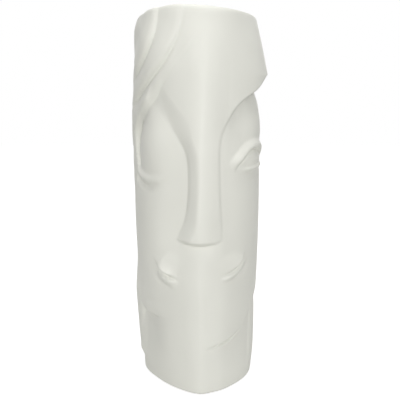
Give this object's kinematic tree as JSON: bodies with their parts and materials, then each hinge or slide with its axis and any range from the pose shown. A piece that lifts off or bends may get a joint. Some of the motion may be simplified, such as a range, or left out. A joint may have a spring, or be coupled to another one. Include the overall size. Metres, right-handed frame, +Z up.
{
  "type": "ceramic vase",
  "caption": "Tall white matt ceramic vase with a stylised face and swept hair in relief, open at the top for flowers, glazed inside and standing on felt pads.",
  "frame": {"origin": "under the middle of the vase's box, on the table it stands on", "axes": "+Z up, the face looks towards -Y, +X is to the right of someone who looks at the face"},
  "size_m": [0.1122, 0.12, 0.3027],
  "materials": {
    "matt_ceramic": "fired, unglazed, fine matt",
    "clear_glaze": "glossy fired glaze",
    "felt": "pressed wool felt"
  },
  "bodies": {
    "root": {"ceramic_body": "matt_ceramic", "glaze_lining": "clear_glaze", "felt_pad_1": "felt", "felt_pad_2": "felt", "felt_pad_3": "felt", "felt_pad_4": "felt"}
  },
  "joints": []
}
